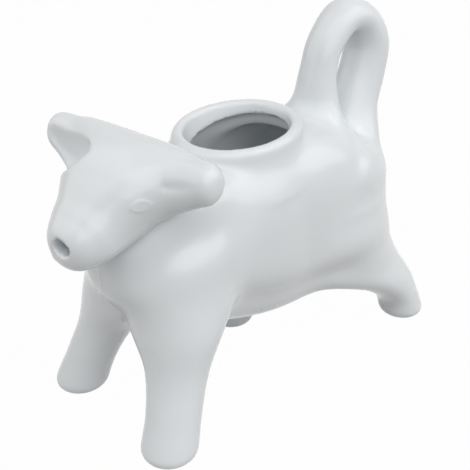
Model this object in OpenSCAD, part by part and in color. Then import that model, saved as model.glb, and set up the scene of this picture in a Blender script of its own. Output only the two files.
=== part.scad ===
// Cow creamer in white glazed porcelain: a hollow barrel with an oval mouth, a hollow head that
// pours through the muzzle, four walking legs and a tail bent into a loop handle.
// The head looks toward -Y, the cow's left side is +X and the feet stand on Z = 0.

/* [Barrel] */
// foremost point of the chest along the length
chest_y = -52.5; // [-54:0.5:-51]
// rearmost point of the rump along the length
rump_y = 54; // [52.5:0.5:55.5]
// height of the widest line of the barrel
girth_z = 50; // [48:0.5:52]
// half width of the barrel at the chest
chest_half_w = 21; // [20:0.5:22]
// half width of the barrel at the shoulders
shoulder_half_w = 23.5; // [23:0.5:24.5]
// half width of the barrel at its middle
waist_half_w = 23.5; // [23:0.5:24.5]
// half width of the barrel at the haunches
haunch_half_w = 25; // [24:0.5:26]
// half width of the barrel at the rump
rump_half_w = 24.4; // [23:0.2:25]
// depth of the soft hollows between shoulder, belly and haunch
flank_hollow = 0.9; // [0.6:0.1:1.2]
// height of the back behind the neck
withers_z = 79.5; // [78.5:0.5:80.5]
// height of the back at the mouth
back_z = 77; // [76:0.5:78]
// height of the back behind the tail
croup_z = 71; // [70:0.5:72]
// height of the underside between the front legs
brisket_z = 33; // [32:0.5:34]
// lowest height of the belly
belly_z = 19; // [18:0.5:20]
// height of the underside between the rear legs
groin_z = 27; // [26:0.5:29]
// wall of the casting
wall = 3.4; // [3:0.1:4]

/* [Mouth] */
// middle of the filling mouth along the length
mouth_y = -2.5; // [-3.5:0.5:-1.5]
// height of the lip crest at the middle of the mouth
lip_z = 81.5; // [80.5:0.5:82.5]
// length of the oval along the lip crest
lip_l = 34; // [33:0.5:35]
// width of the oval across the lip crest
lip_w = 33; // [32:0.5:34]
// thickness of the rolled lip
lip_t = 4.6; // [4.2:0.2:5]
// slope of the lip crest, rising toward the tail
lip_tilt = 6; // [4:0.5:8]
// depth of the collar below the roll
collar_h = 13; // [12:0.5:14]
// how far the collar spreads where it runs into the back
collar_spread = 3; // [2.4:0.2:3.4]

/* [Legs] */
// distance of each front foot from the middle
front_foot_x = 22.4; // [21.6:0.2:23]
// front feet along the length
front_foot_y = -48.5; // [-49.5:0.5:-47.5]
// width of a front foot
front_foot_d = 16.8; // [16.2:0.2:17.4]
// length of a front leg up to its root inside the shoulder
front_leg_h = 70; // [67:1:71]
// extra width of a front leg at its fullest, each side
front_swell_w = 6.4; // [5.8:0.2:7]
// extra depth of a front leg at its fullest, each way
front_swell_l = 9.6; // [9:0.2:10.2]
// distance of the rear left foot from the middle
rear_left_foot_x = 19; // [18.5:0.5:20]
// rear left foot along the length, stretched back
rear_left_foot_y = 60; // [59:0.5:61]
// distance of the rear right foot from the middle
rear_right_foot_x = 17.6; // [17:0.2:19]
// rear right foot along the length, stepping forward
rear_right_foot_y = 10.6; // [10:0.2:13]
// width of a rear foot
rear_foot_d = 15.6; // [15:0.2:16.2]
// length of a rear leg up to its root inside the haunch
rear_leg_h = 50; // [48:1:52]
// extra width of a thigh at its fullest, each side
thigh_swell_w = 5; // [4.6:0.2:5.6]
// extra depth of a thigh at its fullest, each way
thigh_swell_l = 14.4; // [13.6:0.2:15]
// rounding of the foot edge
foot_edge = 3.2; // [2.8:0.2:3.6]

/* [Head] */
// turn of the head toward the cow's left
head_turn = 7; // [6:0.5:8]
// height of the head's middle line at the poll
poll_z = 86.9; // [86.4:0.1:87.4]
// width of the skull
skull_w = 40; // [39:0.5:41]
// thickness of the head at the eyes
head_t = 22; // [21:0.5:23]
// width of the muzzle
muzzle_w = 21; // [20:0.5:22]
// height of the muzzle
muzzle_h = 18; // [17:0.5:19]
// foremost point of the muzzle along the length
muzzle_y = -66.5; // [-67:0.5:-66]
// height of the middle of the muzzle
muzzle_z = 64; // [63.5:0.5:64.5]
// width of the pour hole
pour_w = 7; // [6.8:0.1:7.4]
// height of the pour hole
pour_h = 5.8; // [5.6:0.1:6.2]
// length of the almond eye
eye_l = 5.4; // [5:0.2:6]
// thickness of the lid round the eye
lid_t = 0.9; // [0.8:0.1:1.1]

/* [Ears] */
// width over both ear tips
ear_span = 62; // [61:0.5:63]
// width of an ear where it leaves the skull
ear_root_w = 24; // [23:0.5:25]
// thickness of an ear where it leaves the skull
ear_root_t = 16; // [15:0.5:17]
// width of an ear near its tip
ear_tip_w = 9.8; // [9.2:0.2:10.6]
// thickness of an ear near its tip
ear_tip_t = 8.4; // [8:0.2:9]
// depth of the dished inside of the ear
ear_dish = 1.6; // [1.2:0.1:2]

/* [Tail] */
// width of the tail strap
tail_w = 14; // [13:0.5:15]
// thickness of the tail strap
tail_t = 10.6; // [10:0.2:11.2]
// front strand of the tail along the length
tail_front_y = 31; // [30:0.5:31.5]
// rear strand of the tail along the length, at the tuft
tail_rear_y = 54; // [53.5:0.5:55]
// height over the arch of the tail
tail_top_z = 110.5; // [109.5:0.5:111.5]
// spread of the tail to each side at its front root
tail_root_w = 13; // [12:0.5:14]
// extra thickness of the tail at its front root
tail_root_t = 5; // [4.4:0.2:5.6]

/* [Look] */
// glaze colour
glaze = "#F4F5F4";

/* [Hidden] */

// points round one ring, and rings along each form
ring_n = 36;
leg_ring_n = 24;
lid_n = 8;
eyeball_n = 18;
barrel_rings = 26;
leg_rings = 13;
edge_rings = 4;
tail_rings = 30;
head_rings = 17;
ear_rings = 9;
lip_rings = 5;
full_turn = 360;
quarter_turn = 90;

// shape powers: 2 is an ellipse, more is boxier
round_power = 2;
head_power = 2.2;
end_power = 3;
top_power = 3.6;

function mix(a, b, t) = a + (b - a) * t;
function held(v, low, high) = min(max(v, low), high);
function shaped(v, power) = sign(v) * pow(abs(v), 2 / power);
// a rounded end closes to a small flat of this share of its size
end_flat_share = 0.05;
function rounded_end(t, power) =
    max(pow(1 - pow(held(abs(2 * t - 1), 0, 1), power), 1 / power), end_flat_share);
// quarter ellipse that closes a form over the last share of its length
function closing(left, share) = max(sqrt(1 - pow(1 - held(left / share, 0, 1), 2)), end_flat_share);
// slow near both ends, so that rounded ends get enough rings
function eased(k, count) = (1 - cos(full_turn / 2 * k / count)) / 2;
// smooth value at share t through evenly spaced keys, numbers or vectors
function between(a, b, c, d, t) = b + (c - a) * t / 2 + (2 * a - 5 * b + 4 * c - d) * t * t / 2
    + (3 * b - a - 3 * c + d) * t * t * t / 2;
function glide(keys, t) =
    let (last = len(keys) - 1, s = held(t, 0, 1) * last, k = min(floor(s), last - 1))
    between(keys[max(k - 1, 0)], keys[k], keys[k + 1], keys[min(k + 2, last)], s - k);
// slope of a path of y and z keys, taken over a share of it each way
function slope_at(keys, t, share) =
    let (ahead = glide(keys, t + share), behind = glide(keys, t - share))
    atan2(ahead[1] - behind[1], ahead[0] - behind[0]);

// closed solid through a row of rings, each turning against the direction of the row
module lofted(rings) {
    n = len(rings[0]);
    last = len(rings) - 1;
    polyhedron(points = [for (ring = rings) each ring], faces = concat(
        [[for (j = [n - 1 : -1 : 0]) j], [for (j = [0 : n - 1]) last * n + j]],
        [for (k = [0 : last - 1], j = [0 : n - 1]) let (a = k * n + j, b = k * n + (j + 1) % n)
            each [[a, b, b + n], [a, b + n, a + n]]]));
}

// convex solid over some rings
module spanned(rings) hull() polyhedron(points = [for (ring = rings) each ring],
    faces = [[for (k = [0 : len(rings) * len(rings[0]) - 1]) k]]);

// point on a ring across a path in the plane X = 0, for a key of y, z, half width, half thickness
// and, where the form is thinner on its lower side, the share that is kept there
function path_point(key, slope, shrink, power, a) =
    let (kept = sin(a) < 0 && len(key) > 4 ? key[4] : 1,
        v = key[3] * shrink[1] * kept * shaped(sin(a), power))
    [key[2] * shrink[0] * shaped(cos(a), power), key[0] - v * sin(slope), key[1] + v * cos(slope)];
function path_ring(key, slope, shrink, power, count) =
    [for (k = [0 : count - 1]) path_point(key, slope, shrink, power, full_turn * k / count)];

/* barrel */
// keys at even steps from the chest to the rump: chest, shoulder, hollow, belly, hollow, haunch, rump
barrel_half_w = [chest_half_w, shoulder_half_w, waist_half_w - flank_hollow, waist_half_w,
    (waist_half_w + haunch_half_w) / 2 - flank_hollow, haunch_half_w, rump_half_w];
back_top_shares = [-0.4, 1, -0.2, 0.2];
rump_top_shares = [1.25, 0.5, 0];
barrel_top = concat([for (s = back_top_shares) mix(back_z, withers_z, s)],
    [for (s = rump_top_shares) mix(croup_z, back_z, s)]);
brisket_shares = [0, 0.35, 0.75, 1];
groin_shares = [0, 0.4, 1];
barrel_low = concat([for (s = brisket_shares) mix(brisket_z, belly_z, s)],
    [for (s = groin_shares) mix(belly_z, groin_z, s)]);

// the underside is round up to the first share of the length and boxier from the second
chest_power = 2.1;
belly_power = 2.8;
chest_share = 0.3;
belly_share = 0.8;
function low_power(t) =
    mix(chest_power, belly_power, held((t - chest_share) / (belly_share - chest_share), 0, 1));
function barrel_ring(t, inset) =
    let (c = rounded_end(t, end_power), y = mix(chest_y + inset, rump_y - inset, t),
        half_w = (glide(barrel_half_w, t) - inset) * c,
        rise = (glide(barrel_top, t) - inset - girth_z) * c,
        drop = (girth_z - glide(barrel_low, t) - inset) * c)
    [for (k = [0 : ring_n - 1])
        let (a = full_turn * k / ring_n, s = sin(a), power = s > 0 ? top_power : low_power(t))
        [half_w * shaped(cos(a), power), y, girth_z + (s > 0 ? rise : drop) * shaped(s, power)]];

module barrel(inset) lofted([for (k = [0 : barrel_rings]) barrel_ring(eased(k, barrel_rings), inset)]);

/* mouth */
lip_r = lip_t / 2;
roll_z = lip_z - lip_r;

function mouth_ring(grow, z) =
    [for (k = [0 : ring_n - 1]) let (a = full_turn * k / ring_n, y = (lip_l / 2 + grow) * sin(a))
        [(lip_w / 2 + grow) * cos(a), mouth_y + y, z + y * tan(lip_tilt)]];
// profiles of growth and height: the roll outward and then the flare, and the roll into the mouth
function roll(side) = [for (k = [0 : lip_rings]) let (a = quarter_turn * k / lip_rings)
    [side * lip_r * sin(a), roll_z + lip_r * cos(a)]];
collar_foot_z = roll_z - collar_h;
collar_profile = concat(roll(1), [for (k = [1 : lip_rings]) let (s = k / lip_rings)
    [lip_r + collar_spread * s * s, roll_z - collar_h * s]]);
opening_profile = concat(roll(-1), [[-lip_r, collar_foot_z]]);
opening_top_z = lip_z + lip_t;

// neighbours of a list, in pairs
function pairs(list) = [for (k = [1 : len(list) - 1]) [list[k - 1], list[k]]];
// the collar widens downward, so each step is carried down to its foot
module collar() for (pair = pairs(collar_profile)) let (here = pair[0], next = pair[1])
    spanned([mouth_ring(here[0], here[1]), mouth_ring(next[0], next[1]), mouth_ring(next[0], collar_foot_z)]);
// the opening narrows downward, so each step is carried up past the lip
module mouth_opening() for (pair = pairs(opening_profile)) let (here = pair[0], next = pair[1])
    spanned([mouth_ring(here[0], opening_top_z), mouth_ring(here[0], here[1]), mouth_ring(next[0], next[1])]);

module body_outer() {
    barrel(0);
    collar();
}

/* head */
// the head turns about an upright line through the neck
neck_y = -36;
poll_y = -38;
// shares at even steps from the poll to the muzzle: y, z, width, thickness, jaw kept below the middle line
head_shares = [
    [0, 1, 1, -3, 1],
    [0.105, 0.803, 1, -0.75, 0.95],
    [0.21, 0.611, 0.9, 0.6, 0.85],
    [0.326, 0.428, 0.68, 1, 0.72],
    [0.449, 0.271, 0.39, 0.9, 0.64],
    [0.589, 0.14, 0.16, 0.4, 0.64],
    [0.765, 0.026, 0, 0, 0.84],
    [1, -0.026, -0.1, -0.5, 0.95]];
head_keys = [for (s = head_shares) [mix(poll_y, muzzle_y, s[0]), mix(muzzle_z, poll_z, s[1]),
    mix(muzzle_w, skull_w, s[2]) / 2, mix(muzzle_h, head_t, s[3]) / 2, s[4]]];
// the poll and the muzzle close over these shares of the head's length
poll_share = 0.06;
muzzle_share = 0.2;
// width that the rounded poll keeps
poll_w_share = 0.85;
// the slope is taken over a long share, so that the rings fan out gently where the brow meets the muzzle
head_slope_share = 0.12;
function head_slope(t) = slope_at(head_keys, t, head_slope_share) + full_turn / 2;
function head_shrink(t) =
    let (front = closing(1 - t, muzzle_share), rear = closing(t, poll_share))
    [front * mix(poll_w_share, 1, rear), front * rear];
function head_ring(t) = path_ring(glide(head_keys, t), head_slope(t), head_shrink(t), head_power, ring_n);
module turned() translate([0, neck_y, 0]) rotate([0, 0, head_turn]) translate([0, -neck_y, 0]) children();

// ear: shares at even steps from inside the skull to the tip: out, along, tip end
ear_root_y = -42.4;
ear_tip_y = -40.6;
ear_root_z = 76.6;
ear_tip_z = 82.3;
ear_root_tilt = 56;
ear_tip_tilt = 80;
ear_shares = [
    // x, y, z, tilt, size
    [0, 0, 0, 0, 0],
    [0.39, 0.5, 0.29, 0.25, 0.27],
    [0.65, 0.78, 0.61, 0.67, 0.6],
    [0.855, 1, 0.9, 1, 0.86],
    [1, 1, 1, 1, 1]];
ear_keys = [for (s = ear_shares) [ear_span / 2 * s[0], mix(ear_root_y, ear_tip_y, s[1]),
    mix(ear_root_z, ear_tip_z, s[2]), mix(ear_root_tilt, ear_tip_tilt, s[3]),
    mix(ear_root_w, ear_tip_w, s[4]) / 2, mix(ear_root_t, ear_tip_t, s[4]) / 2]];
ear_tip_share = 0.2;
// the dish fades out at these shares of the ear and leaves a rim along its edges
dish_from_share = 0.38;
dish_to_share = 0.9;
dish_rim = 1.6;
// ring across the ear at a share of its length, inset all round, then shrunk, and moved ahead
function ear_ring(t, inset, kept, ahead) =
    let (key = glide(ear_keys, t), w = (key[4] - inset) * kept, v = (key[5] - inset) * kept)
    [for (k = [0 : leg_ring_n - 1])
        let (a = full_turn * k / leg_ring_n, q = w * cos(a), p = ahead - v * sin(a))
        [key[0], key[1] + q * cos(key[3]) - p * sin(key[3]), key[2] + q * sin(key[3]) + p * cos(key[3])]];
function dish_ring(s) = let (t = mix(dish_from_share, dish_to_share, s))
    ear_ring(t, dish_rim, rounded_end(s, round_power), 2 * glide(ear_keys, t)[5] - dish_rim - ear_dish);
module ear() lofted([for (k = [0 : ear_rings]) let (t = sin(quarter_turn * k / ear_rings))
    ear_ring(t, 0, closing(1 - t, ear_tip_share), 0)]);
module ear_hollow() lofted([for (k = [0 : ear_rings]) dish_ring(eased(k, ear_rings))]);
module both_sides() for (side = [0, 1]) mirror([side, 0, 0]) children();

// eye: an almond lid round a low eyeball, seated on the side of the skull
eye_along_share = 0.455;
eye_up = 25.5;
eye_sink = 0.4;
eye_turn = 40;
eye_slant = 12;
eye_w_share = 0.62;
eyeball_share = 0.35;
eye_seat =
    path_point(glide(head_keys, eye_along_share), head_slope(eye_along_share), [1, 1], head_power, eye_up);
module eye() translate(eye_seat) rotate([0, quarter_turn, -eye_turn]) translate([0, 0, -eye_sink])
    rotate([0, 0, -eye_slant]) scale([eye_w_share, 1, 1]) {
        rotate_extrude($fn = leg_ring_n) translate([(eye_l - lid_t) / 2, 0]) circle(d = lid_t, $fn = lid_n);
        scale([1, 1, eyeball_share]) sphere(d = eye_l - lid_t * 2, $fn = eyeball_n);
    }

module head_outer() turned() {
    lofted([for (k = [head_rings : -1 : 0]) head_ring(eased(k, head_rings))]);
    both_sides() {
        ear();
        eye();
    }
}
module ear_hollows() turned() both_sides() ear_hollow();

/* milk passage from the barrel to the muzzle */
passage_front_y = -61.5;
passage_d = 16;
passage_front_d = 6.8;
passage_shares = [
    // y, z, diameter
    [0, 0, 1], [0.32, 0.33, 0.87], [0.6, 0.26, 0.61], [0.83, 0.13, 0.34], [1, 0.05, 0]];
passage_keys = [for (s = passage_shares) [mix(poll_y, passage_front_y, s[0]),
    mix(muzzle_z, poll_z, s[1]), mix(passage_front_d, passage_d, s[2])]];
module ball(key) translate([0, key[0], key[1]]) sphere(d = key[2], $fn = leg_ring_n);
module passage() turned() for (pair = pairs(passage_keys)) hull() {
    ball(pair[0]);
    ball(pair[1]);
}
// the pour hole runs from the passage out through the muzzle, a little above its middle
pour_lift = 0.6;
pour_z = muzzle_z + pour_lift;
pour_l = 20;
pour_depth = 8;
module pour_hole() turned() translate([0, muzzle_y + pour_depth, pour_z]) rotate([quarter_turn, 0, 0])
    resize([pour_w, pour_h, pour_l]) cylinder(h = pour_l, d = pour_h, $fn = ring_n);

/* legs */
// the left side is as modelled, the right side is mirrored
left = 0;
right = 1;
// shares at even steps from foot to root: x and y from foot to hip, width and depth of the swell
front_leg_shares = [
    [0, 0, 0, 0],
    [0.14, 0.17, -0.06, -0.04],
    [0.38, 0.37, 0.19, 0.08],
    [0.71, 0.57, 1, 0.52],
    [0.74, 0.8, 0.81, 0.94],
    [0.82, 0.91, 0.78, 1],
    [1, 1, 0.31, 0.52]];
rear_leg_shares = [
    [0, 0, 0, 0],
    [0.11, 0.08, -0.04, 0],
    [0.24, 0.32, 0.04, 0.28],
    [0.56, 0.72, 0.4, 0.81],
    [0.72, 0.95, 0.8, 1],
    [0.83, 0.98, 1, 0.86],
    [1, 1, 0.8, 0.58]];
front_hip = [7, -25.5];
rear_hip = [10, 30];

function leg_keys(foot, hip, foot_d, swell, shares) = [for (s = shares) [mix(foot[0], hip[0], s[0]),
    mix(foot[1], hip[1], s[1]), foot_d / 2 + swell[0] * s[2], foot_d / 2 + swell[1] * s[3]]];
// ring at height z, kept on its own side of the middle
function leg_ring(keys, height, z, inset) = let (key = glide(keys, z / height))
    [for (j = [0 : leg_ring_n - 1]) let (a = full_turn * j / leg_ring_n)
        [max(key[0] + (key[2] - inset) * cos(a), 0), key[1] - (key[3] - inset) * sin(a), z]];
module leg(keys, height, side) difference() {
    mirror([side, 0, 0]) lofted(concat(
        [for (k = [0 : edge_rings]) let (a = quarter_turn * k / edge_rings)
            leg_ring(keys, height, foot_edge * (1 - cos(a)), foot_edge * (1 - sin(a)))],
        [for (k = [1 : leg_rings]) leg_ring(keys, height, mix(foot_edge, height, k / leg_rings), 0)]));
    body_outer();
    head_outer();
}
module front_leg(side) leg(leg_keys([front_foot_x, front_foot_y], front_hip, front_foot_d,
    [front_swell_w, front_swell_l], front_leg_shares), front_leg_h, side);
module rear_leg(foot, side) leg(leg_keys(foot, rear_hip, rear_foot_d, [thigh_swell_w, thigh_swell_l],
    rear_leg_shares), rear_leg_h, side);

/* tail */
tail_root_z = 62;
// the smooth arch rises this far over its highest key
arch_lift = 0.4;
tail_axis_z = tail_top_z - tail_t / 2 - arch_lift;
// shares at even steps from the front root over the arch to the rear root: y, z, spread, thickening
tail_shares = [
    [-0.09, 0, 1, 1],
    [-0.04, 0.21, 0.62, 0.6],
    [0, 0.42, 0.12, 0.12],
    [0.035, 0.63, -0.05, -0.06],
    [0.13, 0.84, -0.06, -0.1],
    [0.435, 1, -0.02, -0.02],
    [0.76, 0.967, 0.02, 0],
    [1.01, 0.785, 0.05, 0],
    [0.98, 0.572, 0.05, 0],
    [0.84, 0.35, 0.06, 0.04],
    [0.76, 0.14, 0.23, 0.28],
    [0.61, -0.07, 0.46, 0.4]];
tail_keys = [for (s = tail_shares) [mix(tail_front_y, tail_rear_y, s[0]),
    mix(tail_root_z, tail_axis_z, s[1]), tail_w / 2 + tail_root_w * s[2], tail_t / 2 + tail_root_t * s[3]]];
tail_slope_share = 0.01;
function tail_ring(t) =
    path_ring(glide(tail_keys, t), slope_at(tail_keys, t, tail_slope_share), [1, 1], round_power, leg_ring_n);

module body_shell() color(glaze) difference() {
    body_outer();
    barrel(wall);
    mouth_opening();
    passage();
}
module head_shell() color(glaze) difference() {
    head_outer();
    body_outer();
    ear_hollows();
    passage();
    pour_hole();
}
module front_left_leg() color(glaze) front_leg(left);
module front_right_leg() color(glaze) front_leg(right);
module rear_left_leg() color(glaze) rear_leg([rear_left_foot_x, rear_left_foot_y], left);
module rear_right_leg() color(glaze) rear_leg([rear_right_foot_x, rear_right_foot_y], right);
module tail_handle() color(glaze) difference() {
    lofted([for (k = [0 : tail_rings]) tail_ring(k / tail_rings)]);
    body_outer();
}

body_shell();
head_shell();
front_left_leg();
front_right_leg();
rear_left_leg();
rear_right_leg();
tail_handle();
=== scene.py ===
"""Dresses the cow creamer: one glazed porcelain skin over its luted slip-cast pieces, in a white studio."""

import logging
import math
from collections.abc import Callable
from dataclasses import dataclass, field
from enum import Enum
from itertools import product

import bmesh
import bpy
import numpy as np
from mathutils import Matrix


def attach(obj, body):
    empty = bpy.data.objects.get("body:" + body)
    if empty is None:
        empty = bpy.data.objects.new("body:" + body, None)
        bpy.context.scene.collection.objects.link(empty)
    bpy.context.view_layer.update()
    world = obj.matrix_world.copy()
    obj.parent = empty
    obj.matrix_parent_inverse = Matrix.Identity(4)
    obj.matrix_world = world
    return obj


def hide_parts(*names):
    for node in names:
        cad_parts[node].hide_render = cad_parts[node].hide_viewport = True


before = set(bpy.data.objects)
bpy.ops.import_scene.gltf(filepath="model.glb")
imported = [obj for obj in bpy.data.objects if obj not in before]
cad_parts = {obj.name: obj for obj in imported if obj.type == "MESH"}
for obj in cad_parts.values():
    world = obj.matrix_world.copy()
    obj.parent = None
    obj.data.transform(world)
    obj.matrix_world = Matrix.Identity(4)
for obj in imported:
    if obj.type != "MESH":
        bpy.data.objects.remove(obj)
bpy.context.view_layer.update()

import openvdb
from mathutils import Vector

LOG = logging.getLogger("creamer")
Array = np.ndarray
Table = tuple[tuple[float, ...], ...]
MM = 0.001
WHITE = (1.0, 1.0, 1.0, 1.0)
# a closed end keeps this share of its form's size, so that its last ring is no point
END_SHARE = 0.05
FINE = (0.6, 0.92)


class Piece(Enum):
    """The luted pieces of the creamer, named as the solids they stand for."""

    BODY = "body_shell"
    HEAD = "head_shell"
    FRONT_LEFT = "front_left_leg"
    FRONT_RIGHT = "front_right_leg"
    REAR_LEFT = "rear_left_leg"
    REAR_RIGHT = "rear_right_leg"
    TAIL = "tail_handle"


class Side(Enum):
    """The cow's own sides, as the sign of X."""

    LEFT = 1
    RIGHT = -1


# Shaping, in millimetres


def mix(start: Array, end: Array, share: Array) -> Array:
    """Value at a share of the way from start to end."""
    return start + (end - start) * share


def shaped(value: Array, power: Array) -> Array:
    """Cosine or sine of a rounded oblong: power 2 is an ellipse, more is boxier."""
    return np.sign(value) * np.abs(value) ** (2.0 / power)


def rounded_end(share: Array, power: float) -> Array:
    """Size of a form that is rounded at both ends, at a share of its length."""
    return np.maximum((1 - np.clip(np.abs(2 * share - 1), 0, 1) ** power) ** (1 / power), END_SHARE)


def closing(left: Array, share: float) -> Array:
    """Quarter ellipse that closes a form over the last share of its length."""
    return np.maximum(np.sqrt(1 - (1 - np.clip(left / share, 0, 1)) ** 2), END_SHARE)


def eased(count: int) -> Array:
    """Shares from 0 to 1 that crowd toward both ends, so that round ends get enough rings."""
    return (1 - np.cos(np.linspace(0, math.pi, count + 1))) / 2


def circle(around: int) -> Array:
    """Angles of the points round a ring, as one row."""
    return np.linspace(0, 2 * math.pi, around, endpoint=False)[None]


def columns(*parts: Array) -> Array:
    """Parts side by side on a new last axis, each spread to the same shape."""
    return np.stack(np.broadcast_arrays(*parts), -1)


def turned_about(points: Array, pivot_y: float, angle: float) -> Array:
    """Points turned about an upright line.

    Args:
        points: points whose last axis is x, y, z.
        pivot_y: place of the upright line along the length.
        angle: turn in degrees, positive toward the cow's left.

    Returns:
        The turned points.
    """
    cos_a, sin_a = math.cos(math.radians(angle)), math.sin(math.radians(angle))
    x, y = points[..., 0], points[..., 1] - pivot_y
    return columns(x * cos_a - y * sin_a, x * sin_a + y * cos_a + pivot_y, points[..., 2])


def glide(keys: Array, share: Array) -> Array:
    """Smooth curve through evenly spaced keys.

    Args:
        keys: rows of numbers, one row a key.
        share: places along the curve, 0 to 1.

    Returns:
        One row of numbers for each place.
    """
    keys = np.asarray(keys, float)
    keys = keys[:, None] if keys.ndim == 1 else keys
    last = len(keys) - 1
    place = np.clip(share, 0, 1) * last
    k = np.minimum(place.astype(int), last - 1)
    t = (place - k)[:, None]
    a, b, c, d = (keys[np.clip(k + i, 0, last)] for i in (-1, 0, 1, 2))
    return b + (c - a) * t / 2 + (2 * a - 5 * b + 4 * c - d) * t**2 / 2 + (3 * b - a - 3 * c + d) * t**3 / 2


def slopes(keys: Array, share: Array, reach_share: float = 0.01) -> Array:
    """Slope of a path of y and z keys, in radians, taken over a share of it each way."""
    ahead, behind = glide(keys, share + reach_share), glide(keys, share - reach_share)
    return np.arctan2(ahead[:, 1] - behind[:, 1], ahead[:, 0] - behind[:, 0])


def path_rings(keys: Array, slope: Array, kept_shares: Array, power: float = 2.0, *, around: int) -> Array:
    """Rings across a path in the plane X = 0.

    Args:
        keys: y, z, half width and half thickness of each ring, and the share of the thickness
            that is kept on its lower side, if that differs.
        slope: slope of the path at each ring, in radians.
        kept_shares: shares of the width and the thickness kept at each ring.
        power: roundness of the rings.
        around: points round a ring.

    Returns:
        Points as rings x around x 3.
    """
    a = circle(around)
    out = (keys[:, 2] * kept_shares[:, 0])[:, None] * shaped(np.cos(a), power)
    up = (keys[:, 3] * kept_shares[:, 1])[:, None] * shaped(np.sin(a), power)
    if keys.shape[1] > 4:
        up = up * np.where(up < 0, keys[:, 4:5], 1)
    slope = slope[:, None]
    return columns(out, keys[:, :1] - up * np.sin(slope), keys[:, 1:2] + up * np.cos(slope))


@dataclass(frozen=True)
class Form:
    """A closed surface in millimetres, as quads along its rings and triangles over its ends."""

    points: Array
    quads: Array
    triangles: Array

    @classmethod
    def lofted(cls, rings: Array) -> "Form":
        """Closed surface through a row of rings.

        Args:
            rings: points as rings x around x 3.

        Returns:
            The form, with a fan over each end.
        """
        count, around = rings.shape[:2]
        first, j = np.meshgrid(np.arange(count - 1) * around, np.arange(around), indexing="ij")
        a, b = (first + j).ravel(), (first + (j + 1) % around).ravel()
        quads = columns(a, b, b + around, a + around)
        ends = np.stack([rings[0].mean(0), rings[-1].mean(0)])
        j, tip = np.arange(around), count * around
        fans = [columns(start + (j + 1) % around, start + j, tip + i)
                for i, start in enumerate((0, tip - around))]
        return cls(np.concatenate([rings.reshape(-1, 3), ends]), quads, np.concatenate(fans))


# Clay: solids held as distance fields


def blended(a: Array, b: Array, reach: float) -> Array:
    """Two solids joined with a smoothed fillet, as a hand smooths slip over a luted joint.

    Args:
        a: distance field of one solid.
        b: distance field of the other.
        reach: how far from the joint the fillet starts, in millimetres.

    Returns:
        The distance field of the joined solids.
    """
    near = np.maximum(reach - np.abs(a - b), 0) / reach
    return np.minimum(a, b) - near**3 * (reach / 6)


def hollowed(solid: Array, hollow: Array, reach: float) -> Array:
    """Solid with a hollow taken out and its edge rounded over reach millimetres."""
    return -blended(-solid, hollow, reach)


@dataclass(frozen=True)
class Clay:
    """A block of space round the creamer in which solids are held as distances in millimetres."""

    step: float
    low: tuple[float, float, float] = (-36.0, -72.0, -5.0)
    high: tuple[float, float, float] = (36.0, 73.0, 116.0)
    reach: float = 9.0

    @property
    def start(self) -> tuple[int, int, int]:
        """Cell index of the block's low corner."""
        return tuple(math.floor(v / self.step) for v in self.low)

    @property
    def shape(self) -> tuple[int, int, int]:
        """Cells along X, Y and Z."""
        return tuple(math.ceil(h / self.step) - s for h, s in zip(self.high, self.start))

    def distances(self, form: Form) -> Array:
        """Distance of every cell from a form's surface.

        Args:
            form: the closed form.

        Returns:
            Distances in millimetres, negative inside the form.
        """
        band = self.reach / self.step
        grid = openvdb.FloatGrid.createLevelSetFromPolygons(
            form.points.astype(np.float32), triangles=form.triangles.astype(np.uint32),
            quads=form.quads.astype(np.uint32), transform=openvdb.createLinearTransform(voxelSize=self.step),
            exBandWidth=band, inBandWidth=band)
        out = np.empty(self.shape, np.float32)
        grid.copyToArray(out, ijk=self.start)
        return out

    def skin(self, solid: Array, facet: float) -> tuple[Array, Array]:
        """Surface of a solid.

        Args:
            solid: its distance field.
            facet: size of a face, in millimetres.

        Returns:
            Points in millimetres, and triangles.
        """
        coarse = Clay(facet, self.low, self.high, self.reach)
        cells = np.stack(np.indices(coarse.shape), -1).reshape(-1, 3) + np.array(coarse.start)
        grid = openvdb.FloatGrid(self.reach)
        grid.transform = openvdb.createLinearTransform(voxelSize=facet)
        grid.copyFromArray(self.sampled(solid, cells * facet).reshape(coarse.shape).astype(np.float32),
                           ijk=coarse.start)
        points, triangles, quads = grid.convertToPolygons(isovalue=0.0, adaptivity=0.0)
        halves = [quads[:, (0, 1, 2)], quads[:, (0, 2, 3)], triangles]
        return points.astype(float), np.concatenate([h for h in halves if len(h)]).astype(np.int64)

    def sampled(self, volume: Array, points: Array) -> Array:
        """Values of a field at points, read smoothly between the cells.

        Args:
            volume: the field.
            points: the points, in millimetres.

        Returns:
            One value for each point.
        """
        at = points / self.step - np.array(self.start)
        k = np.clip(np.floor(at).astype(int), 0, np.array(self.shape) - 2)
        t = np.clip(at - k, 0, 1)
        total = np.zeros(len(points))
        for i, j, m in product((0, 1), repeat=3):
            weight = np.abs(1 - i - t[:, 0]) * np.abs(1 - j - t[:, 1]) * np.abs(1 - m - t[:, 2])
            total += weight * volume[k[:, 0] + i, k[:, 1] + j, k[:, 2] + m]
        return total

    def slope(self, volume: Array, points: Array, span: float) -> Array:
        """Gradient of a field at points, over span millimetres each way."""
        return np.stack([self.sampled(volume, points + s) - self.sampled(volume, points - s)
                         for s in np.eye(3) * span], -1) / (2 * span)


# The creamer's own pieces


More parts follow.
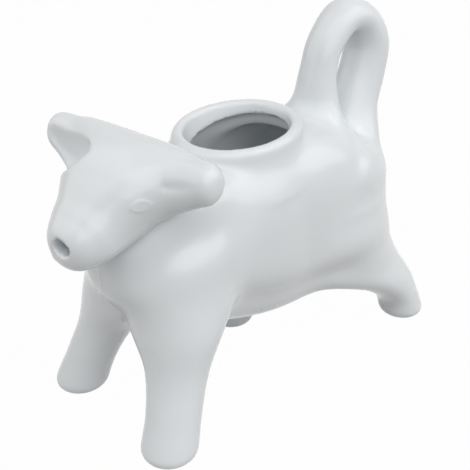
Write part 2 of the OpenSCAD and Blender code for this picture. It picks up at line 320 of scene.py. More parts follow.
@dataclass(frozen=True)
class Barrel:
    """The hollow barrel of the cow."""

    chest_y: float = -52.5
    rump_y: float = 54.0
    girth_z: float = 50.0
    half_widths: tuple[float, ...] = (21.0, 23.5, 22.6, 23.5, 23.35, 25.0, 24.4)
    tops: tuple[float, ...] = (76.0, 79.5, 76.5, 77.5, 78.5, 74.0, 71.0)
    lows: tuple[float, ...] = (33.0, 28.1, 22.5, 19.0, 19.0, 22.2, 27.0)
    wall: float = 3.4
    end_power: float = 3.0
    top_power: float = 3.6
    chest_power: float = 2.1
    belly_power: float = 2.8
    # from here on, over half the length, the underside turns from the chest's roundness to the belly's
    belly_start_share: float = 0.3
    rings: int = 90
    around: int = 120

    def form(self, inset: float = 0.0) -> Form:
        """Outside of the barrel, or its inside where inset is the wall.

        Args:
            inset: depth below the outside, in millimetres.

        Returns:
            The closed form.
        """
        t = eased(self.rings)
        kept = rounded_end(t, self.end_power)
        y = mix(self.chest_y + inset, self.rump_y - inset, t)[:, None]
        half_width = (glide(self.half_widths, t)[:, 0] - inset) * kept
        rise = (glide(self.tops, t)[:, 0] - inset - self.girth_z) * kept
        drop = (self.girth_z - glide(self.lows, t)[:, 0] - inset) * kept
        a = circle(self.around)
        s = np.sin(a)
        belly = np.clip(2 * t - 2 * self.belly_start_share, 0, 1)
        power = np.where(s > 0, self.top_power, mix(self.chest_power, self.belly_power, belly)[:, None])
        z = self.girth_z + np.where(s > 0, rise[:, None], drop[:, None]) * shaped(s, power)
        return Form.lofted(columns(half_width[:, None] * shaped(np.cos(a), power), y, z))


@dataclass(frozen=True)
class FillingMouth:
    """The oval filling mouth in the back, with its rolled lip and flared collar."""

    middle_y: float = -2.5
    lip_z: float = 81.5
    lip_length: float = 34.0
    lip_width: float = 33.0
    lip_thickness: float = 4.6
    tilt: float = 6.0
    collar_height: float = 13.0
    collar_spread: float = 3.0
    open_above: float = 6.0
    inner_round: float = 1.2
    inner_slant: float = 1.5
    inner_depth: float = 6.0
    inner_edge: float = 1.0
    inner_tilt: float = 15.0
    # growth beyond the crest and depth below the throat's lower edge
    room: Table = ((-1.6, 0), (0, 0.6), (0.6, 2), (1, 4), (2, 8), (2, 30))
    flare_rings: int = 12
    around: int = 120

    def ring(self, grow: float, z: float, tilt: float | None = None) -> Array:
        """Oval ring in the tilted plane of the lip.

        Args:
            grow: how far it lies outside the crest.
            z: its height at the middle of the mouth.
            tilt: its tilt in degrees, if not the lip's own.

        Returns:
            The ring's points.
        """
        a = circle(self.around)[0]
        y = (self.lip_length / 2 + grow) * np.sin(a)
        rise = math.tan(math.radians(self.tilt if tilt is None else tilt))
        return columns((self.lip_width / 2 + grow) * np.cos(a), self.middle_y + y, z + y * rise)

    def roll(self, reach: float, steps: int = 8) -> list[tuple[float, float]]:
        """Growth and height along the quarter round from the crest, outward or (below 0) inward."""
        return [(reach * math.sin(a), self.lip_z - abs(reach) * (1 - math.cos(a)))
                for a in np.linspace(0, math.pi / 2, steps)]

    def collar(self) -> Form:
        """The lip and collar as one solid plug that reaches down into the back.

        Returns:
            The closed form.
        """
        reach = self.lip_thickness / 2
        top = self.lip_z - reach
        flare = [(reach + self.collar_spread * s**2, top - self.collar_height * s)
                 for s in np.linspace(0, 1, self.flare_rings)[1:]]
        return Form.lofted(np.stack([self.ring(grow, z) for grow, z in self.roll(reach) + flare]))

    def opening(self) -> Form:
        """The throat, which is open from above the lip.

        Returns:
            The hollow as a solid. It narrows a little toward its lower edge.
        """
        narrow = -self.inner_round - self.inner_slant
        steps = [(0.0, self.lip_z + self.open_above), *self.roll(-self.inner_round),
                 (narrow, self.lip_z - self.inner_depth - self.inner_edge),
                 (narrow, self.lip_z - self.collar_height)]
        return Form.lofted(np.stack([self.ring(grow, z) for grow, z in steps]))

    def shoulder(self) -> Form:
        """The room under the throat's lower edge, which widens into the barrel.

        Returns:
            The room as a solid.
        """
        top = self.lip_z - self.inner_depth
        rings = [self.ring(grow, top - drop, self.inner_tilt) for grow, drop in self.room]
        return Form.lofted(np.stack(rings))


@dataclass(frozen=True)
class Head:
    """The hollow head, from the broad poll down to the rounded muzzle."""

    turn: float = 7.0
    neck_y: float = -36.0
    poll_y: float = -38.0
    poll_z: float = 86.9
    skull_width: float = 40.0
    thickness: float = 22.0
    muzzle_y: float = -66.5
    muzzle_z: float = 64.0
    muzzle_width: float = 21.0
    muzzle_height: float = 18.8
    # at even steps from the poll to the muzzle: y, z, width, thickness, jaw kept below the middle line
    shares: Table = (
        (0, 1, 1, -3, 1), (0.105, 0.803, 1, -0.75, 0.95), (0.21, 0.611, 0.9, 0.6, 0.86),
        (0.326, 0.428, 0.68, 1, 0.86), (0.449, 0.271, 0.39, 0.9, 0.86), (0.589, 0.14, 0.16, 0.4, 0.76),
        (0.765, 0.026, 0, 0, 0.7), (1, -0.026, -0.1, -0.5, 1.1))
    power: float = 2.2
    slope_share: float = 0.12
    muzzle_round_share: float = 0.2
    poll_round_share: float = 0.06
    poll_width_share: float = 0.85
    rings: int = 70
    around: int = 120

    @property
    def keys(self) -> Array:
        """y, z, half width, half thickness and the jaw kept, at each share."""
        s = np.array(self.shares)
        return columns(mix(self.poll_y, self.muzzle_y, s[:, 0]), mix(self.muzzle_z, self.poll_z, s[:, 1]),
                       mix(self.muzzle_width, self.skull_width, s[:, 2]) / 2,
                       mix(self.muzzle_height, self.thickness, s[:, 3]) / 2, s[:, 4])

    def turned(self, points: Array, back: bool = False) -> Array:
        """Points turned with the head, or turned back to the middle line."""
        return turned_about(points, self.neck_y, -self.turn if back else self.turn)

    def leaning(self, share: Array) -> Array:
        """Slope of the head's middle line at shares of its length, in radians."""
        return slopes(self.keys, share, self.slope_share) + math.pi

    def form(self) -> Form:
        """The head without its ears.

        Returns:
            The closed form.
        """
        t = eased(self.rings)
        front, rear = closing(1 - t, self.muzzle_round_share), closing(t, self.poll_round_share)
        kept = columns(front * mix(self.poll_width_share, 1.0, rear), front * rear)
        rings = path_rings(glide(self.keys, t), self.leaning(t), kept, self.power, around=self.around)
        return Form.lofted(self.turned(rings))

    def seat(self, along_share: float, angle: float) -> Array:
        """Point on the head's left side, before the head is turned.

        Args:
            along_share: its place along the head.
            angle: how far it lies up from the middle of the side, in degrees.

        Returns:
            The point.
        """
        t = np.array([along_share])
        a = math.radians(angle)
        key, slope = glide(self.keys, t)[0], self.leaning(t)[0]
        up = key[3] * shaped(math.sin(a), self.power)
        return np.array([key[2] * shaped(math.cos(a), self.power), key[0] - up * math.sin(slope),
                         key[1] + up * math.cos(slope)])


@dataclass(frozen=True)
class Ears:
    """Both ears, leaning out from the poll as one bar, each with its dished inside facing ahead."""

    span: float = 62.0
    root_width: float = 24.0
    root_thickness: float = 16.0
    tip_width: float = 9.8
    tip_thickness: float = 8.4
    root_y: float = -42.4
    tip_y: float = -40.6
    root_z: float = 76.6
    tip_z: float = 82.3
    root_tilt: float = 56.0
    tip_tilt: float = 80.0
    dish_depth: float = 5.5
    middle_share: float = 0.1
    tip_round_share: float = 0.2
    dish_round_share: float = 0.15
    rings: int = 100
    dish_rings: int = 40
    around: int = 64
    # at even steps from inside the skull to the tip: x, y, z, tilt, size
    shares: Table = (
        (0, 0, 0, 0, 0), (0.39, 0.5, 0.29, 0.25, 0.27), (0.65, 0.78, 0.61, 0.67, 0.6),
        (0.855, 1, 0.9, 1, 0.86), (1, 1, 1, 1, 1))
    # at even steps toward the tip: x, height above the root, half height, floor ahead of the tip
    full_dish_shares: Table = (
        (0.16, 0.36, 0.05, 0.45), (0.26, 0.33, 0.24, 0.37), (0.38, 0.29, 0.5, 0.3), (0.53, 0.27, 0.7, 0.255),
        (0.7, 0.265, 0.68, 0.23), (0.85, 0.29, 0.53, 0.21), (0.97, 0.33, 0.3, 0.22))
    shallow_dish_shares: Table = (
        (0.58, 0.19, 0.12, 0.4), (0.68, 0.21, 0.22, 0.34), (0.78, 0.24, 0.27, 0.305),
        (0.88, 0.28, 0.18, 0.31))

    @property
    def keys(self) -> Array:
        """x, y, z, tilt in radians, half width and half thickness at each share."""
        s = np.array(self.shares)
        return columns(self.span / 2 * s[:, 0], mix(self.root_y, self.tip_y, s[:, 1]),
                       mix(self.root_z, self.tip_z, s[:, 2]),
                       np.radians(mix(self.root_tilt, self.tip_tilt, s[:, 3])),
                       mix(self.root_width, self.tip_width, s[:, 4]) / 2,
                       mix(self.root_thickness, self.tip_thickness, s[:, 4]) / 2)

    def bar(self, head: Head) -> Form:
        """Both ears as one solid from tip to tip.

        Args:
            head: the head that they turn with.

        Returns:
            The closed form.
        """
        t = np.sin(np.linspace(-math.pi / 2, math.pi / 2, self.rings))
        key = glide(self.keys, np.hypot(t, self.middle_share))
        kept = closing(1 - np.abs(t), self.tip_round_share)
        a = circle(self.around)
        wide = (key[:, 4] * kept)[:, None] * np.cos(a)
        thick = (key[:, 5] * kept)[:, None] * -np.sin(a)
        cos_t, sin_t = np.cos(key[:, 3])[:, None], np.sin(key[:, 3])[:, None]
        x = (glide(self.keys, np.abs(t))[:, 0] * np.sign(t))[:, None]
        return Form.lofted(head.turned(columns(x, key[:, 1:2] + wide * cos_t - thick * sin_t,
                                               key[:, 2:3] + wide * sin_t + thick * cos_t)))

    def dish(self, head: Head, side: Side) -> Form:
        """The hollow pressed into one ear's front: broad on the cow's right, shallow on its left.

        Args:
            head: the head that it turns with.
            side: which ear.

        Returns:
            The hollow as a solid.
        """
        s = np.array(self.full_dish_shares if side is Side.RIGHT else self.shallow_dish_shares)
        t = np.linspace(0, 1, self.dish_rings)
        key = glide(columns(self.span / 2 * s[:, 0], self.root_z + self.root_width * s[:, 1],
                            self.root_width / 2 * s[:, 2], self.tip_y - self.root_thickness * s[:, 3]), t)
        kept = closing(t, self.dish_round_share) * closing(1 - t, self.dish_round_share)
        a = circle(self.around)
        z = key[:, 1:2] + (key[:, 2] * kept)[:, None] * np.sin(a)
        y = key[:, 3:4] - self.dish_depth * (1 - kept[:, None] * np.cos(a))
        return Form.lofted(head.turned(columns(key[:, :1] * side.value, y, z)))


@dataclass(frozen=True)
class Passage:
    """The milk's way from the barrel through the head, and the pouring hole in the muzzle."""

    front_y: float = -61.5
    rear_diameter: float = 16.0
    front_diameter: float = 6.8
    hole_width: float = 5.6
    hole_height: float = 4.4
    hole_x: float = 0.8
    hole_z: float = 65.4
    hole_behind: float = 8.0
    hole_ahead: float = 12.0
    front_round_share: float = 0.1
    rear_round_share: float = 0.2
    rings: int = 50
    hole_rings: int = 6
    around: int = 64
    # at even steps from the barrel: y, z, diameter
    shares: Table = ((0, 0, 1), (0.32, 0.33, 0.87), (0.6, 0.26, 0.61), (0.83, 0.13, 0.34), (1, 0.05, 0))

    def channel(self, head: Head) -> Form:
        """The hollow through the head.

        Args:
            head: the head that it turns with.

        Returns:
            The hollow as a solid.
        """
        s, t = np.array(self.shares), eased(self.rings)
        radius = mix(self.front_diameter, self.rear_diameter, s[:, 2]) / 2
        keys = columns(mix(head.poll_y, self.front_y, s[:, 0]), mix(head.muzzle_z, head.poll_z, s[:, 1]),
                       radius, radius)
        keys[0, 0] += radius[0] / 2
        kept = closing(1 - t, self.front_round_share) * closing(t, self.rear_round_share)
        rings = path_rings(glide(keys, t), slopes(keys, t), columns(kept, kept), around=self.around)
        return Form.lofted(head.turned(rings))

    def hole(self, head: Head) -> Form:
        """The oval hole out through the muzzle.

        Args:
            head: the head that it turns with.

        Returns:
            The hole as a solid.
        """
        a = circle(self.around)
        y = head.muzzle_y + np.linspace(self.hole_behind, -self.hole_ahead, self.hole_rings)[:, None]
        x, z = self.hole_x + self.hole_width / 2 * np.cos(a), self.hole_z + self.hole_height / 2 * np.sin(a)
        return Form.lofted(head.turned(columns(x, y, z)))


@dataclass(frozen=True)
class Leg:
    """One leg, swelling from a rounded foot up into the shoulder or the haunch."""

    side: Side
    foot: tuple[float, float]
    hip: tuple[float, float]
    foot_width: float
    height: float
    swell: tuple[float, float]
    # at even steps from foot to root: x and y toward the hip, width and depth of the swell
    shares: Table
    foot_edge: float = 3.2
    edge_rings: int = 10
    shank_rings: int = 59
    around: int = 80

    def form(self) -> Form:
        """The leg as one solid, kept on its own side of the middle.

        Returns:
            The closed form.
        """
        s = np.array(self.shares)
        keys = columns(mix(self.foot[0], self.hip[0], s[:, 0]), mix(self.foot[1], self.hip[1], s[:, 1]),
                       self.foot_width / 2 + self.swell[0] * s[:, 2],
                       self.foot_width / 2 + self.swell[1] * s[:, 3])
        edge = np.linspace(0, math.pi / 2, self.edge_rings)
        shank = mix(self.foot_edge, self.height, np.linspace(0, 1, self.shank_rings + 1)[1:])
        z = np.concatenate([self.foot_edge * (1 - np.cos(edge)), shank])
        inset = np.concatenate([self.foot_edge * (1 - np.sin(edge)), np.zeros(self.shank_rings)])[:, None]
        key = glide(keys, z / self.height)
        a = circle(self.around)
        x = np.maximum(key[:, :1] + (key[:, 2:3] - inset) * np.cos(a), 0) * self.side.value
        y = key[:, 1:2] - (key[:, 3:4] - inset) * np.sin(a)
        return Form.lofted(columns(x, y, z[:, None]))

    @classmethod
    def front(cls, side: Side) -> "Leg":
        """A front leg, set a little ahead under the shoulder."""
        return cls(side, foot=(22.4, -48.5), hip=(7.0, -25.5), foot_width=16.8, height=70.0, swell=(6.4, 9.6),
                   shares=((0, 0, 0, 0), (0.14, 0.17, -0.06, -0.04), (0.38, 0.37, 0.19, 0.08),
                           (0.71, 0.57, 1, 0.52), (0.74, 0.8, 0.81, 0.94), (0.82, 0.91, 0.78, 1),
                           (1, 1, 0.31, 0.52)))

    @classmethod
    def rear(cls, side: Side, foot: tuple[float, float]) -> "Leg":
        """A rear leg with its full thigh, stepping to the given foot."""
        return cls(side, foot, hip=(10.0, 30.0), foot_width=15.6, height=50.0, swell=(5.0, 14.4),
                   shares=((0, 0, 0, 0), (0.11, 0.08, -0.04, 0), (0.24, 0.32, 0.04, 0.28),
                           (0.56, 0.72, 0.4, 0.81), (0.72, 0.95, 0.8, 1), (0.83, 0.98, 1, 0.86),
                           (1, 1, 0.8, 0.58)))


@dataclass(frozen=True)
class Tail:
    """The tail, arched over into a loop that serves as the handle."""

    width: float = 14.0
    thickness: float = 10.6
    front_y: float = 31.0
    rear_y: float = 54.0
    top_z: float = 110.5
    # the curve rises this much above its highest key
    arch_rise: float = 0.4
    root_z: float = 62.0
    root_width: float = 13.0
    root_thickness: float = 5.0
    # at even steps from the front root over the arch to the rear root: y, z, spread, thickening
    shares: Table = (
        (-0.09, 0, 1, 1), (-0.04, 0.21, 0.62, 0.6), (-0.02, 0.42, 0.14, 0.12), (0, 0.63, -0.03, -0.1),
        (0.115, 0.84, -0.06, -0.12), (0.435, 1, -0.02, -0.02), (0.755, 0.967, 0.02, 0.02),
        (0.96, 0.785, 0.05, 0.24), (0.91, 0.572, 0.05, 0.36), (0.765, 0.35, 0.12, 0.42),
        (0.67, 0.14, 0.36, 0.64), (0.61, -0.07, 0.46, 0.6))
    rings: int = 160
    around: int = 64

    def form(self) -> Form:
        """The tail as one strap from root to root.

        Returns:
            The closed form.
        """
        s, t = np.array(self.shares), np.linspace(0, 1, self.rings)
        axis_z = self.top_z - self.thickness / 2 - self.arch_rise
        keys = columns(mix(self.front_y, self.rear_y, s[:, 0]), mix(self.root_z, axis_z, s[:, 1]),
                       self.width / 2 + self.root_width * s[:, 2],
                       self.thickness / 2 + self.root_thickness * s[:, 3])
        kept = np.ones((self.rings, 2))
        return Form.lofted(path_rings(glide(keys, t), slopes(keys, t), kept, around=self.around))


# Relief: what the mould and the modelling tool left on the skin


@dataclass(frozen=True)
class Eye:
    """An almond eye: a low eyeball inside a raised lid."""

    side: Side
    length: float = 4.2
    height_share: float = 0.6
    corner_share: float = 0.6
    along_share: float = 0.455
    up: float = 24.0
    turn: float = 41.0
    slant: float = 10.0
    lid: float = 0.15
    lid_width: float = 0.6
    ball: float = 0.1
    ball_share: float = 0.72
    relief_share: float = 1.4
    fine_share: float = 0.95

    def place(self, head: Head) -> tuple[Array, Array, Array]:
        """Where the eye sits before the head is turned.

        Args:
            head: the head that carries it.

        Returns:
            The eye's middle, and its long and short directions.
        """
        side = np.array([self.side.value, 1, 1])
        yaw, tilt = math.radians(self.turn), math.radians(self.slant)
        level, up = np.array([math.sin(yaw), math.cos(yaw), 0]), np.array([0, 0, 1.0])
        along = level * math.cos(tilt) + up * math.sin(tilt)
        across = up * math.cos(tilt) - level * math.sin(tilt)
        return head.seat(self.along_share, self.up) * side, along * side, across * side

    def height(self, points: Array, head: Head) -> Array:
        """Relief of the eye.

        Args:
            points: points of the skin, in millimetres.
            head: the head that carries it.

        Returns:
            Heights in millimetres.
        """
        centre, along, across = self.place(head)
        away = head.turned(points, back=True) - centre
        half_height = self.length / 2 * self.height_share
        u, v = away @ along / (self.length / 2), away @ across / half_height
        # the almond's corners are drawn out along its length
        r = np.sqrt(u**2 + v**2 * (1 + self.corner_share * u**2))
        lid = self.lid * np.exp(-(((r - 1) * half_height / self.lid_width) ** 2))
        ball = self.ball * np.clip(1 - (r / self.ball_share) ** 2, 0, 1)
        return np.where(np.linalg.norm(away, axis=1) < self.length * self.relief_share, lid + ball, 0)

    def near(self, points: Array, head: Head) -> Array:
        """Which points lie where the relief needs a fine mesh."""
        away = head.turned(points, back=True) - self.place(head)[0]
        return np.linalg.norm(away, axis=1) < self.length * self.fine_share


@dataclass(frozen=True)
class SoftHollow:
    """A long soft hollow that the modeller's thumb drew down a flank, the same on both sides."""

    where: str
    width: float
    depths: tuple[float, ...]
    path: Table
    strokes: int = 24

    def height(self, points: Array) -> Array:
        """Relief of the hollow, as a row of soft strokes along its path.

        Args:
            points: points of the skin, in millimetres.

        Returns:
            Heights in millimetres, below 0 in the hollow.
        """
        t = np.linspace(0, 1, self.strokes)
        at = columns(np.abs(points[:, 0]), points[:, 1], points[:, 2])
        line, depth = glide(self.path, t), glide(self.depths, t)[:, 0]
        apart = np.linalg.norm(np.diff(line, axis=0), axis=1).mean()
        total = np.zeros(len(at))
        for place, deep in zip(line, depth):
            total += deep * np.exp(-((at - place) ** 2).sum(1) / self.width**2)
        return -total * apart / (self.width * math.sqrt(math.pi))


@dataclass(frozen=True)
class MouldSeam:
    """The fettled seam of the two-part mould, left as a faint ridge under chest, belly and jaw."""

    rise: float = 0.16
    width: float = 0.5
    top_z: float = 62.0
    chest_y: float = -30.0
    rear_y: float = 56.0
    # how steeply the skin has to face down, or ahead at the chest, for the seam to stay
    under_gain: float = 1.6
    under_offset: float = 0.25
    chest_offset: float = 0.2
    fine_widths: float = 3.0
    fine_share: float = 0.05

    def weight(self, points: Array, normals: Array) -> Array:
        """How much of the seam is left at points of the skin.

        Args:
            points: the points, in millimetres.
            normals: the skin's normals there.

        Returns:
            Shares from 0 to 1.
        """
        under = np.clip(-normals[:, 2] * self.under_gain + self.under_offset, 0, 1)
        low = points[:, 2] < self.top_z
        chest = np.clip(-normals[:, 1] - self.chest_offset, 0, 1) * (points[:, 1] < self.chest_y) * low
        return np.maximum(under, chest) * (low & (points[:, 1] < self.rear_y))

    def height(self, points: Array, normals: Array) -> Array:
        """Relief in millimetres at points of the skin."""
        return self.rise * np.exp(-((points[:, 0] / self.width) ** 2)) * self.weight(points, normals)

    def near(self, points: Array, normals: Array) -> Array:
        """Which points lie where the relief needs a fine mesh."""
        beside = np.abs(points[:, 0]) < self.width * self.fine_widths
        return beside & (self.weight(points, normals) > self.fine_share)


# Finish


def linear(hex_colour: str) -> tuple[float, float, float, float]:
    """Linear colour of an sRGB hex value.

    Args:
        hex_colour: a colour such as "#F4F5F4".

    Returns:
        Red, green, blue and 1.
    """
    value = np.array([int(hex_colour[i:i + 2], 16) / 255 for i in (1, 3, 5)])
    value = np.where(value <= 0.04045, value / 12.92, ((value + 0.055) / 1.055) ** 2.4)
    return (*(float(v) for v in value), 1.0)


def empty_tree(owner: bpy.types.ID) -> bpy.types.NodeTree:
    """Turns on the nodes of a world or a material and clears them.

    Args:
        owner: the world or the material.

    Returns:
        Its node tree.
    """
    owner.use_nodes = True
    owner.node_tree.nodes.clear()
    return owner.node_tree


def add_node(tree: bpy.types.NodeTree, kind: str, settings: dict | None = None,
             **inputs: object) -> bpy.types.Node:
    """Adds a node to a tree, sets it and links it.

    Args:
        tree: the node tree.
        kind: the node's type name.
        settings: its properties.
        inputs: socket names, with _ for a space, or n and a socket's number, and the value or the
            socket that each takes.

    Returns:
        The node.
    """
    node = tree.nodes.new(kind)
    for name, value in (settings or {}).items():
        setattr(node, name, value)
    for name, value in inputs.items():
        key = name.replace("_", " ")
        socket = node.inputs[int(key[1:])] if key[0] == "n" and key[1:].isdigit() else node.inputs[key]
        if isinstance(value, bpy.types.NodeSocket):
            tree.links.new(value, socket)
        else:
            socket.default_value = value
    return node


@dataclass(frozen=True)
class PorcelainGlaze:
    """Clear glaze over white porcelain, dipped and fired."""

    # the eye gets a cool glassy white with a faint ripple, grey in folds from pooled glaze and painted shade,
    # and soft highlights: the roughness was raised from 0.16 as they were brighter than in the photograph
    body: str = "#EDF0F2"
    # colour of the folds: glaze pooled there, and shade painted into them
    pooled_and_shaded: str = "#E2E7E9"
    ior: float = 1.5
    roughness: float = 0.19
    cloud_mm: float = 24.0
    cloud_share: float = 0.3
    ripple_mm: float = 9.0
    ripple_depth_mm: float = 0.02

    def material(self) -> bpy.types.Material:
        """The glaze as a material.

        Returns:
            The material, which reads how much glaze pools from the mesh.
        """
        made = bpy.data.materials.new("glazed_porcelain")
        tree = empty_tree(made)
        place = add_node(tree, "ShaderNodeTexCoord").outputs["Object"]
        # how much glaze pools in a fold and how much shade is painted there
        pool_and_shade = add_node(tree, "ShaderNodeAttribute", {"attribute_name": "glaze_pool_and_shade"})
        cloud = add_node(tree, "ShaderNodeTexNoise", {"noise_dimensions": "3D"}, Vector=place,
                         Scale=1 / (self.cloud_mm * MM), Detail=2.0, Roughness=0.5)
        # the glaze's random clouding, plus its pooling and the painted shade in the folds
        depth = add_node(tree, "ShaderNodeMath", {"operation": "MULTIPLY_ADD", "use_clamp": True},
                         n0=cloud.outputs["Fac"], n1=self.cloud_share, n2=pool_and_shade.outputs["Fac"])
        colour = add_node(tree, "ShaderNodeMix", {"data_type": "RGBA"}, n0=depth.outputs["Value"],
                          n6=linear(self.body), n7=linear(self.pooled_and_shaded))
        ripple = add_node(tree, "ShaderNodeTexNoise", {"noise_dimensions": "3D"}, Vector=place,
                          Scale=1 / (self.ripple_mm * MM), Detail=1.0, Roughness=0.4)
        bump = add_node(tree, "ShaderNodeBump", Strength=1.0, Distance=self.ripple_depth_mm * MM,
                        Height=ripple.outputs["Fac"])
        shader = add_node(tree, "ShaderNodeBsdfPrincipled", Base_Color=colour.outputs["Result"],
                          Roughness=self.roughness, IOR=self.ior, Normal=bump.outputs["Normal"])
        add_node(tree, "ShaderNodeOutputMaterial", Surface=shader.outputs["BSDF"])
        return made


# Assembly


def refined(points: Array, faces: Array, needs: Callable[[Array], Array], longest: float,
            rounds: int = 3) -> tuple[Array, Array]:
    """A skin with its triangles divided where the relief needs it.

    Args:
        points: the skin's points.
        faces: its triangles.
        needs: says which points lie where a fine mesh is needed.
        longest: longest edge that needs no dividing, in millimetres.
        rounds: how many times the edges are halved at most.

    Returns:
        Points and triangles.
    """
    mesh = bmesh.new()
    for point in points:
        mesh.verts.new(point)
    mesh.verts.ensure_lookup_table()
    for a, b, c in faces.tolist():
        mesh.faces.new((mesh.verts[a], mesh.verts[b], mesh.verts[c]))
    for _ in range(rounds):
        mesh.verts.index_update()
        fine = needs(np.array([v.co for v in mesh.verts]))
        edges = [e for e in mesh.edges if fine[e.verts[0].index] and fine[e.verts[1].index]
                 and e.calc_length() > longest]
        bmesh.ops.subdivide_edges(mesh, edges=edges, cuts=1)
        bmesh.ops.triangulate(mesh, faces=[f for f in mesh.faces if len(f.verts) > 3])
    mesh.verts.index_update()
    out = (np.array([v.co for v in mesh.verts]), np.array([[v.index for v in f.verts] for f in mesh.faces]))
    mesh.free()
    return out


@dataclass
class Skin:
    """The outer and inner skin of the whole creamer as one mesh, in millimetres."""

    points: Array
    normals: Array
    faces: Array
    # share of pooled glaze and painted shade at each point
    pool_and_shade: Array

    def piece(self, name: Piece, faces: Array, glaze: bpy.types.Material) -> bpy.types.Object:
        """Makes one piece of the skin and sets it in the frame.

        Args:
            name: which piece.
            faces: numbers of its faces.
            glaze: its finish.

        Returns:
            The piece.
        """
        used, corners = np.unique(self.faces[faces], return_inverse=True)
        mesh = bpy.data.meshes.new(f"glazed_{name.value}")
        mesh.from_pydata(self.points[used] * MM, [], corners.reshape(-1, 3))
        mesh.shade_smooth()
        mesh.normals_split_custom_set_from_vertices(self.normals[used])
        # the folds' pooled glaze and painted shade, read by the glaze's colour
        pool_and_shade = mesh.attributes.new("glaze_pool_and_shade", "FLOAT", "POINT")
        pool_and_shade.data.foreach_set("value", self.pool_and_shade[used].astype(np.float32))
        mesh.materials.append(glaze)
        piece = bpy.data.objects.new(f"glazed_{name.value}", mesh)
        bpy.context.scene.collection.objects.link(piece)
        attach(piece, "root")
        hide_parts(name.value)
        LOG.info("%s: %d faces", piece.name, len(faces))
        return piece


@dataclass(frozen=True)
class Fillets:
    """How far each joint and edge is smoothed, in millimetres."""

    collar: float = 4.0
    ears: float = 4.0
    dish_edge: float = 1.4
    room: float = 2.0
    throat: float = 1.2
    hole: float = 1.0
    neck: float = 3.0
    open_edge: float = 1.2
    luting: tuple[tuple[Piece, float], ...] = (
        (Piece.HEAD, 1.8), (Piece.TAIL, 8.0), (Piece.FRONT_LEFT, 7.0), (Piece.FRONT_RIGHT, 7.0),
        (Piece.REAR_LEFT, 8.0), (Piece.REAR_RIGHT, 8.0))


